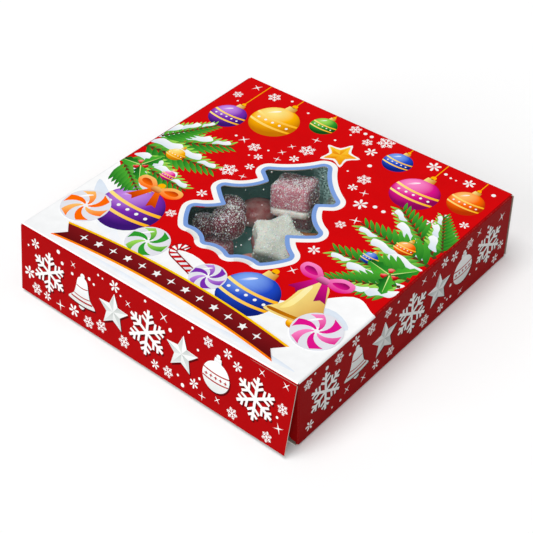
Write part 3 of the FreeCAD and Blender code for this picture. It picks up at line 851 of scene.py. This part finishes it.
def print_top():
    ground = Print(EDGE, EDGE)
    hills = [(74, -28), (52, -50), (24, -58), (-6, -53), (-30, -59), (-60, -42)]
    skyline = smooth_open([(EDGE, SNOW_RIGHT)] + hills + [(-EDGE, SNOW_LEFT)])
    ground.fill([(-EDGE, -EDGE), (EDGE, -EDGE)] + skyline, 0, "#FFFFFF", SNOW)
    for drift in (
        [(86, -48), (70, -42), (46, -60), (20, -70), (44, -67), (70, -55)],
        [(-86, -38), (-66, -48), (-40, -68), (-14, -66), (-40, -73), (-70, -59)],
        [(-60, -86), (-20, -84.5), (20, -86), (60, -83), (84, -85), (40, -87.6), (-20, -87.4)],
    ):
        ground.fill(smooth(drift), 1, "#DCE7F4", "#FBFCFE")
    for ring in WINDOW_RINGS:
        ground.band(WINDOW, *ring)
    ground.settle("top_snow_and_window_rings", on_top, "carton")

    hung = Print(EDGE, EDGE)
    for spot in HUNG_BAUBLES:
        bauble(hung, *spot, 4, EDGE)
    gold_star(hung, STAR_X, STAR_Y, 9.5, 8)
    hung.settle("top_hanging_baubles", on_top, "carton")

    greens = Print(EDGE, EDGE)
    for i, twig in enumerate(FIR_TWIGS):
        sprig(greens, *twig, 4 + 1.8 * (i % 5))
    for spot in SMALL_BAUBLES:
        bauble(greens, *spot, 14)
    holly(greens, 78, -4, 15, 20, 18)
    holly(greens, -78, -15, 14, 160, 18)
    greens.settle("top_fir_twigs", on_top, "carton")

    heap = Print(EDGE, EDGE)
    bauble(heap, -56, -46, 18.5, PURPLE, 16)
    mint(heap, -75, -59, 12.5, ORANGE, 22)
    mint(heap, -30, -60, 11, GREEN, 22)
    bow(heap, -56, -26, 14, ORANGE, 24)
    cane(heap, -9, -60, 13, 74, 16)
    mint(heap, 11, -61, 9, PURPLE, 24)
    bauble(heap, 34, -58, 16, BLUE, 16)
    bell(heap, 60, -46, 17, 14, 24)
    bow(heap, 56, -28, 15, MAGENTA, 30)
    mint(heap, 75.5, -58, 12, MAGENTA, 30)
    heap.settle("top_sweets_and_ornaments", on_top, "carton")

    band = Print(EDGE, EDGE)
    ribbon(band)
    band.settle("top_ribbon", on_top, "carton")

    flakes = Print(EDGE, EDGE)
    reach = EDGE - 3
    snowfall(flakes, 11, 105, red_ground, 3, reach, reach)
    flakes.settle("top_snowflakes", on_top, "carton")


# A fold's quarter round: its strips, how many of them are printed, and the front one's bare end in mm
FOLD_STRIPS, FOLD_PRINTED, FOLD_END = 8, 7, 0.2


def print_creases():
    """The snow runs on over the front part of the side folds, and half way over the front fold."""
    length = CREASE / MM * math.pi / 2
    full = PANEL_HALF - FOLD_END
    for name, place, start, end, white in (
        ("front_fold_print", over_fold((0, -1, 0), (1, 0, 0)), -full, full, FOLD_STRIPS // 2),
        ("right_fold_print", over_fold((1, 0, 0), (0, 1, 0)), -EDGE, SNOW_RIGHT, FOLD_PRINTED),
        ("left_fold_print", over_fold((-1, 0, 0), (0, -1, 0)), -SNOW_LEFT, EDGE, FOLD_PRINTED),
    ):
        sheet = Print(PANEL_HALF, PANEL_HALF)
        for i in range(FOLD_PRINTED):
            high, low = -length * i / FOLD_STRIPS, -length * (i + 1) / FOLD_STRIPS
            tint = SNOW if i < white else SHADED_WALL_RED
            sheet.fill([(start, low), (end, low), (end, high), (start, high)], 6, tint)
        sheet.settle(name, place, "carton")


# The walls' and flaps' print

DROP = 0.8  # how far a shadow falls to the right and down, in millimetres


def white_shape(sheet, outline, x, size, level):
    """A white ornament with the dark drop shadow that lifts it off the red."""
    sheet.fill(moved(outline, x + DROP, -DROP, size=size), level, SHADOW)
    sheet.fill(moved(outline, x, size=size), level + 1, "#FFFFFF", "#DEE3E0")


def sagging(low, high, reach, sag):
    """A band across a round ornament that sags in its middle."""
    steps = [reach * (i / 5 - 1) for i in range(11)]
    rims = [(u, low) for u in steps] + [(u, high) for u in steps[::-1]]
    return [(u, v - sag * (1 - (u / reach) ** 2)) for u, v in rims]


def white_flake(sheet, x, size):
    branched_flake(sheet, x + DROP, -DROP, size, 30, 1, SHADOW)
    branched_flake(sheet, x, 0, size, 30, 2.5)


def white_star(sheet, x, size):
    """A star folded from paper: each point has a light and a darker half."""
    points = star(5, 1, 0.46)
    white_shape(sheet, points, x, size, 1)
    faceted(sheet, points, x, 0, size * 0.95, 3, "#BFC6C3", "#DDE1DF", (0.5, -1))


def white_bell(sheet, x, size):
    clapper, loop = circle(0, -0.84, 0.22, 14), circle(0, 1.06, 0.16, 12)
    for outline, level in ((clapper, 1), (loop, 1), (bell_outline(), 3)):
        white_shape(sheet, outline, x, size, level)
    for band in ((-0.50, -0.40, 0.80), (-0.24, -0.18, 0.60), (0.34, 0.40, 0.42)):
        sheet.fill(moved(sagging(*band, 0.08), x, size=size), 5, SHADED_WALL_RED)


def white_bauble(sheet, x, size):
    loop, ball = circle(0, 1.02, 0.13, 12), circle(0, -0.12, 0.84, 36)
    cap = [(-0.24, 0.62), (0.24, 0.62), (0.20, 0.94), (-0.20, 0.94)]
    for outline, level in ((loop, 1), (cap, 1), (ball, 3)):
        white_shape(sheet, outline, x, size, level)
    for low in (-0.36, 0.10):
        sheet.fill(moved(sagging(low, low + 0.07, 0.80, 0.10), x, size=size), 5, SHADED_WALL_RED)
    for i in range(5):
        glint = moved(star(4, 0.12, 0.05), x + (i - 2) * 0.30 * size, -0.18 * size, size=size)
        sheet.fill(glint, 5, SHADED_WALL_RED)


def print_side(name, place, body, seed, half_x, half_y):
    """A row of white ornaments along the middle, with flakes, glints and dots of snow falling round them."""
    sheet = Print(half_x, half_y)
    row = [(-69, white_flake, 12), (-45, white_bell, 9.4), (-23, white_star, 10.6), (0, white_flake, 13),
           (23, white_star, 10.6), (45, white_bauble, 10), (69, white_flake, 12)]
    for x, ornament, size in row:
        ornament(sheet, x, size)

    def border(x, y, size):
        beside = all(math.hypot(x - u, y) > size + 1.04 * reach for u, _, reach in row)
        return beside and abs(y) + size < half_y - 1 and abs(x) + size < half_x - 2

    snowfall(sheet, seed, 64, border, 1, half_x, half_y)
    sheet.settle(name, place, body)


# Board pieces that are shaped here

def front_flap():
    """The front closure flap: a sheet of board a little twisted, printed outside, with its raw cut edges."""
    half_y = (FLAP_LENGTH - CREASE) / MM / 2
    mesh = bmesh.new()
    bmesh.ops.create_grid(mesh, x_segments=36, y_segments=8, size=1)
    bmesh.ops.scale(mesh, vec=(PANEL_HALF, half_y, 1), verts=mesh.verts)
    bmesh.ops.translate(mesh, vec=(0, -CREASE / MM / 2, 0), verts=mesh.verts)
    for vert in extruded(mesh, mesh.faces[:]):
        vert.co.z = -BOARD / MM
    bmesh.ops.recalc_face_normals(mesh, faces=mesh.faces)
    for face in mesh.faces:
        raw = abs(face.normal.z) < 0.5 and face.normal.y < 0.5
        face.material_index = 2 if raw else (1 if face.normal.z < -0.5 else 0)
    for vert in mesh.verts:
        vert.co = on_front(vert.co)
    # The flap's red is the darker copy of the print red: painted shade
    shaded_front_print = folding_board("offset_print_front", SHADED_WALL_RED, MIDDLE)
    piece = piece_from(mesh, "front_flap_board", shaded_front_print, REVERSE, CUT)
    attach(piece, "front_flap")
    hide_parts("front_flap")


TONGUE_CUTS = 8  # on either side of the middle, so that the tongue can twist


def front_tongue():
    """The tuck tongue follows the lower edge of the twisted flap."""
    mesh = packed("front_tongue")
    for i in range(-TONGUE_CUTS, TONGUE_CUTS + 1):
        parts = mesh.verts[:] + mesh.edges[:] + mesh.faces[:]
        spot = i * HALF_WIDTH / (TONGUE_CUTS + 1), 0, 0
        bmesh.ops.bisect_plane(mesh, geom=parts, dist=MERGE / 10, plane_co=spot, plane_no=(1, 0, 0))
    for vert in mesh.verts:
        turn = Matrix.Rotation(-TWIST * vert.co.x / HALF_WIDTH, 3, "X")
        vert.co = FRONT_HINGE + turn @ (vert.co - FRONT_HINGE)
    bmesh.ops.recalc_face_normals(mesh, faces=mesh.faces)
    piece = piece_from(mesh, "front_tongue_board", folding_board("offset_print_tongue", SHADED_WALL_RED, MIDDLE))
    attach(piece, "front_tongue")
    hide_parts("front_tongue")


# Sweets

TRAY_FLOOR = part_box("foam_cube_bases")[0].z
UPPER_LAYER = 19 * MM
TILT_AXIS = Vector((0.77, 0.64, 0))
SKIN_CELL = 0.9  # the size of a cell of a sweet's skin, in millimetres
CROWDING = 1.6  # how many crystals at most for each square of their spacing

# How the sweets on top lie: the height above which they are and their pivot, in millimetres, their turn and
# forward tilt in degrees, and how much they are swollen
CUBE_POSE = (-9, 31.5, 26.6), -14, -23, 1.12
CUBE_JELLY_LEAN = (19, *CUBE_POSE)
CUBE_FOAM_LEAN = (15, *CUBE_POSE)
STAR_LEAN = (15, (7.92, -4.2, 25.6), 20, 14, 1.08)


def sugar_tree():
    """Geometry nodes that scatter sugar crystals over a sweet, in patches, and most of them on top."""
    tree = bpy.data.node_groups.new("sugar_coat", "GeometryNodeTree")
    tree.interface.new_socket("Sweet", in_out="INPUT", socket_type="NodeSocketGeometry")
    for name in ("Spacing", "Density", "Size"):
        tree.interface.new_socket(name, in_out="INPUT", socket_type="NodeSocketFloat")
    tree.interface.new_socket("Coated", in_out="OUTPUT", socket_type="NodeSocketGeometry")
    given = add(tree, "NodeGroupInput").outputs
    where = add(tree, "GeometryNodeInputPosition").outputs[0]
    height = add(tree, "ShaderNodeSeparateXYZ", {0: where}).outputs["Z"]
    layer = ranged(tree, height, UPPER_LAYER - 3 * MM, UPPER_LAYER + MM, 0.3, 1.0)
    clumps = add(tree, "ShaderNodeTexNoise", {"Vector": where, "Scale": per_mm(4), "Detail": 2.0}).outputs[0]
    patchy = ranged(tree, clumps, 0.3, 0.62, 0.35, 1.0)
    normal = add(tree, "GeometryNodeInputNormal").outputs[0]
    lift = add(tree, "ShaderNodeSeparateXYZ", {0: normal}).outputs["Z"]
    settled = ranged(tree, lift, 0.2, 0.8, 0.42, 1.0)
    spots = add(tree, "GeometryNodeDistributePointsOnFaces", {
        "Mesh": given["Sweet"],
        "Distance Min": given["Spacing"],
        "Density Max": given["Density"],
        "Density Factor": reckon(tree, "MULTIPLY", reckon(tree, "MULTIPLY", layer, patchy), settled),
        "Seed": 7,
    }, distribute_method="POISSON")
    crystal = add(tree, "GeometryNodeMeshCube", {"Size": (1.0, 0.85, 0.7)})
    turns = {0: (0, 0, 0), 1: (6.28, 6.28, 6.28)}
    turn = add(tree, "FunctionNodeRandomValue", turns, data_type="FLOAT_VECTOR")
    grow = add(tree, "FunctionNodeRandomValue", {2: 0.5, 3: 1.35}, data_type="FLOAT")
    grown = add(tree, "GeometryNodeInstanceOnPoints", {
        "Points": spots.outputs["Points"],
        "Instance": crystal.outputs["Mesh"],
        "Rotation": turn.outputs[0],
        "Scale": reckon(tree, "MULTIPLY", grow.outputs[1], given["Size"]),
    })
    real = add(tree, "GeometryNodeRealizeInstances", {"Geometry": grown.outputs[0]})
    dressed = add(tree, "GeometryNodeSetMaterial", {"Geometry": real.outputs[0], "Material": SUGAR})
    joined = add(tree, "GeometryNodeJoinGeometry")
    tree.links.new(given["Sweet"], joined.inputs[0])
    tree.links.new(dressed.outputs[0], joined.inputs[0])
    add(tree, "NodeGroupOutput", {"Coated": joined.outputs[0]})
    return tree


SUGAR_TREE = sugar_tree()


def baked(piece):
    """Replace a piece's mesh by what its modifiers make of it."""
    graph = bpy.context.evaluated_depsgraph_get()
    finished = bpy.data.meshes.new_from_object(piece.evaluated_get(graph))
    piece.modifiers.clear()
    piece.data = finished
    finished.name = piece.name


def sweet(node, material, wobble, spacing=None, size=None, lean=None):
    """A kind of sweet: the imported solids, remeshed, softened and dented as poured jelly is, then sugared."""
    mesh = packed(node)
    if lean:
        above, pivot, turn, tilt, swell = lean
        upper = [vert for vert in mesh.verts if vert.co.z > above * MM]
        pose = Matrix.Rotation(math.radians(tilt), 3, TILT_AXIS) @ Matrix.Rotation(math.radians(turn), 3, "Z")
        bmesh.ops.rotate(mesh, cent=Vector(pivot) * MM, matrix=pose * swell, verts=upper)
    piece = piece_from(mesh, f"{node}_sugared", material, SUGAR)
    for poly in piece.data.polygons:
        poly.use_smooth = True
    remesh = piece.modifiers.new("skin", "REMESH")
    remesh.mode = "VOXEL"
    remesh.voxel_size = SKIN_CELL * MM
    remesh.use_smooth_shade = True
    soften = piece.modifiers.new("soften", "SMOOTH")
    soften.factor = 0.5
    soften.iterations = 6
    baked(piece)
    moves = []
    for vert in piece.data.vertices:
        dent = noise.noise(vert.co * per_mm(7)) + 0.5 * noise.noise(vert.co * per_mm(3))
        moves.extend(vert.co + vert.normal * dent * wobble * MM)
    piece.data.vertices.foreach_set("co", moves)
    piece.data.update()
    if spacing:
        coat = piece.modifiers.new("sugar", "NODES")
        coat.node_group = SUGAR_TREE
        settings = {"Spacing": spacing * MM, "Density": CROWDING / (spacing * MM) ** 2, "Size": size * MM}
        for item in SUGAR_TREE.interface.items_tree:
            if item.in_out == "INPUT" and item.name in settings:
                coat[item.identifier] = settings[item.name]
        baked(piece)
    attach(piece, "carton")
    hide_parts(node)


def make_sweets():
    mauve = jelly("mauve_fruit_jelly", "#A04A5E", "#C87E8C", 0.4, frost=0.36)
    foam = jelly("marshmallow_foam", "#E6DFD4", "#F6F1E8", 0.7, 0.5)
    white = jelly("white_sour_jelly", "#C4C7B8", "#DDDED2", 0.5, 0.5)
    brown = jelly("clear_brown_jelly", "#84481F", "#BC8250", 0.2)
    red = jelly("clear_red_jelly", "#D4686C", "#F8C4BE", 0.16)
    pink = jelly("pink_jelly", "#C47A72", "#E0ACA2", 0.28)
    black = jelly("black_jelly", "#1C1216", "#3A282E", 0.3)
    plum = jelly("plum_jelly", "#5A1424", "#8A3046", 0.4, frost=0.3)
    sweet("mauve_cube_tops", mauve, 0.35, 0.66, 0.48, CUBE_JELLY_LEAN)
    sweet("foam_cube_bases", foam, 0.25, 0.9, 0.55, CUBE_FOAM_LEAN)
    sweet("white_stars", white, 0.55, 0.7, 0.5, STAR_LEAN)
    sweet("cola_slabs", brown, 0.25)
    sweet("red_ovals", red, 0.2)
    sweet("pink_beans", pink, 0.25)
    sweet("black_drops", black, 0.4, 1.2, 0.5)
    sweet("plum_lobed_jellies", plum, 0.7, 0.62, 0.55)


def spilled_sugar():
    """Loose crystals on the tray's floor, and some that cling to the film."""
    draw = random.Random(5)
    mesh = bmesh.new()
    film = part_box("window_film")[0].z
    for count, sizes, across, along, level, side in (
        (420, (0.25, 0.7), (-70, 70), (-64, 64), TRAY_FLOOR, 1),
        (90, (0.3, 0.6), (-38, 38), (-46, 52), film, -1),
    ):
        for _ in range(count):
            size = draw.uniform(*sizes) * MM
            x, y = draw.uniform(*across) * MM, draw.uniform(*along) * MM
            spot = Matrix.Translation((x, y, level + side * size / 2))
            turn = Matrix.Rotation(draw.uniform(0, math.pi), 4, "Z")
            bmesh.ops.create_cube(mesh, size=size, matrix=spot @ turn)
    piece = piece_from(mesh, "spilled_sugar", SUGAR)
    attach(piece, "carton")


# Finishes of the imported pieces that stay

def dress_cad():
    # The side walls and the flaps take the darker copies of the print red, which are painted shade
    wall = folding_board("offset_print_walls", SHADED_SIDE_RED, MIDDLE)
    flap = folding_board("offset_print_flaps", SHADED_WALL_RED, MIDDLE, (0, 1, 0))
    base = folding_board("offset_print_base", SHADED_WALL_RED, MIDDLE, (0, 0, 1))
    top = folding_board("offset_print_top", PRINT_RED, MIDDLE - Vector((0, 0, HEIGHT)))
    finishes = {
        "top_panel": top,
        "bottom_panel": base,
        "right_wall": wall,
        "left_wall": wall,
        "rear_flap": flap,
        "seam_flap": REVERSE,
        "rear_tongue": REVERSE,
        "window_film": clear_film(),
        "window_glue": dried_glue(),
        "seam_glue": dried_glue(),
        "tray": lightened_tray_sheet(),
    }
    for end in ("front", "rear"):
        for side in ("right", "left"):
            finishes[f"{end}_{side}_dust_flap"] = flap
    for node, material in finishes.items():
        for slot in frame["nodes"][node].material_slots:
            slot.material = material


# Studio

def make_floor():
    """A wide pale floor that looks white and keeps the shadow, but throws little light back on the walls."""
    mesh = bmesh.new()
    bmesh.ops.create_grid(mesh, x_segments=1, y_segments=1, size=4)
    paper, tree = new_material("studio_paper")
    path = add(tree, "ShaderNodeLightPath").outputs
    tone = tinted(tree, path["Is Camera Ray"], "#C8C8C8", "#FFFFFF")
    coated(paper, {"Color": tone}, "ShaderNodeBsdfDiffuse")
    floor = piece_from(mesh, "studio_floor", paper)


def make_light():
    world = bpy.data.worlds.new("studio_light")
    world.use_nodes = True
    tree = world.node_tree
    tree.nodes.clear()
    path = add(tree, "ShaderNodeLightPath").outputs
    strength = ranged(tree, path["Is Camera Ray"], 0.0, 1.0, 0.27, 1.0)
    sky = add(tree, "ShaderNodeBackground", {"Color": linear("#FFFFFF"), "Strength": strength})
    add(tree, "ShaderNodeOutputWorld", {"Surface": sky.outputs[0]})
    bpy.context.scene.world = world
    for name, level, spread, source in (
        ("overhead_softbox", 0.465, 35, (-0.12, -0.2, 1.0)),
        ("front_softbox", 0.425, 40, (-0.25, -0.9, 0.35)),
        ("side_softbox", 0.23, 30, (0.50, -0.58, 0.64)),
    ):
        lamp = bpy.data.lights.new(name, "SUN")
        lamp.energy = level * math.pi
        lamp.angle = math.radians(spread)
        light = bpy.data.objects.new(name, lamp)
        light.rotation_euler = Vector(source).to_track_quat("Z", "Y").to_euler()
        bpy.context.scene.collection.objects.link(light)


def make_camera():
    """The photograph's view, from the right of the front and above."""
    azimuth, elevation, roll = math.radians(39.986), math.radians(40.249), math.radians(-0.286)
    target = Vector((12.2, -18.14, 20.75)) * MM
    distance = 678.6 * MM
    back = Vector((
        math.sin(azimuth) * math.cos(elevation),
        -math.cos(azimuth) * math.cos(elevation),
        math.sin(elevation),
    ))
    level = Vector((math.cos(azimuth), math.sin(azimuth), 0))
    right = level * math.cos(roll) + back.cross(level) * math.sin(roll)
    up = back.cross(right)
    data = bpy.data.cameras.new("camera")
    data.sensor_width = 36
    data.lens = 89.65
    camera = bpy.data.objects.new("camera", data)
    turned = Matrix((right, up, back)).transposed().to_4x4()
    camera.matrix_world = Matrix.Translation(target + back * distance) @ turned
    bpy.context.scene.collection.objects.link(camera)
    bpy.context.scene.camera = camera


bpy.context.scene.view_settings.view_transform = "Standard"
make_camera()
make_floor()
make_light()
dress_cad()
front_flap()
front_tongue()
make_sweets()
spilled_sugar()
print_top()
print_creases()
print_side("front_print", on_front, "front_flap", 21, PANEL_HALF, FLAP_LENGTH / MM / 2)
print_side("right_print", on_right, "carton", 33, PANEL_HALF - 2, WALL_HALF_HEIGHT - CREASE / MM)
print_side("left_print", on_left, "carton", 35, PANEL_HALF - 2, WALL_HALF_HEIGHT - CREASE / MM)
print_side("rear_print", on_rear, "rear_flap", 37, PANEL_HALF, FLAP_LENGTH / MM / 2)
